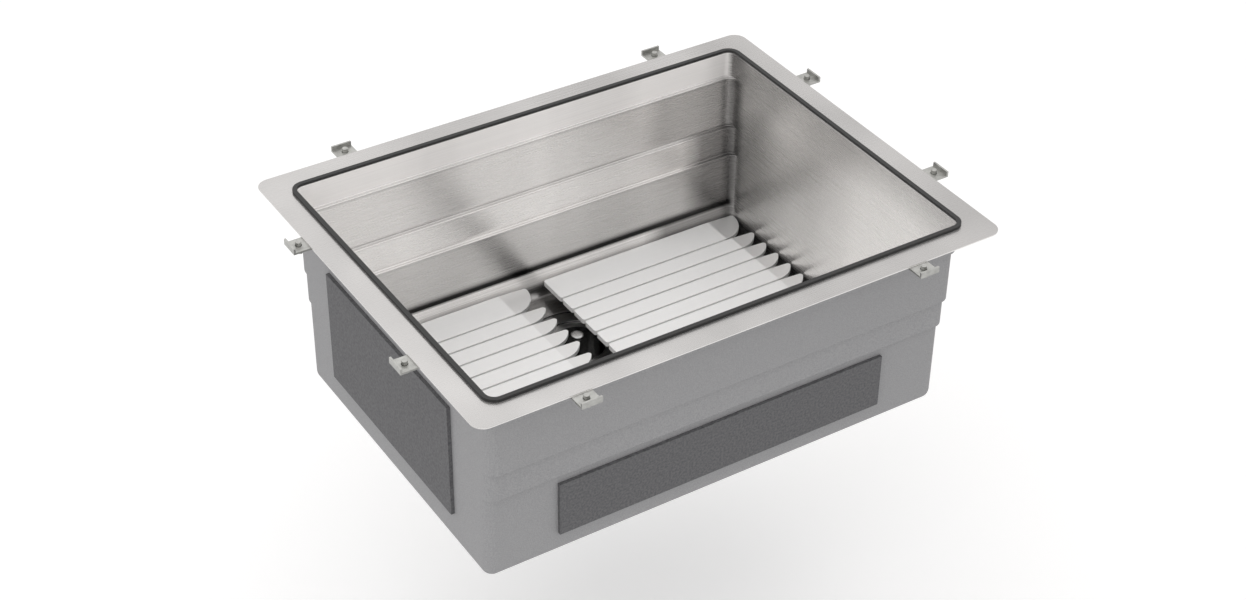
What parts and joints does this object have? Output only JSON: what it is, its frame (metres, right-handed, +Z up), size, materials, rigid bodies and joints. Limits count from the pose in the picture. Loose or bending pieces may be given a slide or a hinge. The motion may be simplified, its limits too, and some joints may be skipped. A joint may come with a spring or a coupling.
{
  "type": "undermount kitchen sink",
  "caption": "Undermount rectangular kitchen sink with tiered ledges, lift-out slatted racks, a rear basket strainer and clips that hang it under a slab.",
  "frame": {"origin": "centre of the bowl's mouth, on the plane of the seal that presses against the underside of the slab", "axes": "+X to the right along the long side, +Y to the back, where the drain is, +Z up out of the bowl"},
  "size_m": [0.629, 0.496, 0.4176],
  "materials": {
    "brushed_steel": "brushed along the walls, satin",
    "rack_steel": "fine satin, nearly white",
    "polished_steel": "polished",
    "zinc_plate": "zinc plated, dull",
    "black_rubber": "matt",
    "grey_rubber": "matt sheet"
  },
  "bodies": {
    "sink": {"bowl": "brushed_steel", "coupling_nut": "polished_steel", "flange_seal": "black_rubber", "mounting_clips": "zinc_plate", "sound_pad_back": "grey_rubber", "sound_pad_floor_left": "grey_rubber", "sound_pad_floor_right": "grey_rubber", "sound_pad_front": "grey_rubber", "sound_pad_left": "grey_rubber", "sound_pad_right": "grey_rubber", "strainer_body": "polished_steel", "strainer_locknut": "zinc_plate", "tailpiece": "polished_steel"},
    "left_rack": {"left_rack_feet": "black_rubber", "left_rack_rail_left": "rack_steel", "left_rack_rail_right": "rack_steel", "left_rack_slat_01": "rack_steel", "left_rack_slat_02": "rack_steel", "left_rack_slat_03": "rack_steel", "left_rack_slat_04": "rack_steel", "left_rack_slat_05": "rack_steel", "left_rack_slat_06": "rack_steel", "left_rack_slat_07": "rack_steel", "left_rack_slat_08": "rack_steel", "left_rack_slat_09": "rack_steel", "left_rack_slat_10": "rack_steel", "left_rack_slat_11": "rack_steel", "left_rack_slat_12": "rack_steel", "left_rack_slat_13": "rack_steel", "left_rack_slat_14": "rack_steel"},
    "right_rack": {"right_rack_feet": "black_rubber", "right_rack_rail_left": "rack_steel", "right_rack_rail_right": "rack_steel", "right_rack_slat_01": "rack_steel", "right_rack_slat_02": "rack_steel", "right_rack_slat_03": "rack_steel", "right_rack_slat_04": "rack_steel", "right_rack_slat_05": "rack_steel", "right_rack_slat_06": "rack_steel", "right_rack_slat_07": "rack_steel", "right_rack_slat_08": "rack_steel", "right_rack_slat_09": "rack_steel", "right_rack_slat_10": "rack_steel", "right_rack_slat_11": "rack_steel", "right_rack_slat_12": "rack_steel", "right_rack_slat_13": "rack_steel", "right_rack_slat_14": "rack_steel"},
    "basket": {"strainer_basket": "polished_steel", "basket_seal": "black_rubber", "basket_post": "polished_steel", "basket_knob": "polished_steel"}
  },
  "joints": [
    {"name": "left_rack_lift", "type": "slide", "parent": "sink", "child": "left_rack", "axis": [0, 0, 1], "range_m": [0, 0.26]},
    {"name": "right_rack_lift", "type": "slide", "parent": "sink", "child": "right_rack", "axis": [0, 0, 1], "range_m": [0, 0.26]},
    {"name": "basket_lift", "type": "slide", "parent": "sink", "child": "basket", "axis": [0, 0, 1], "range_m": [0, 0.008]}
  ]
}
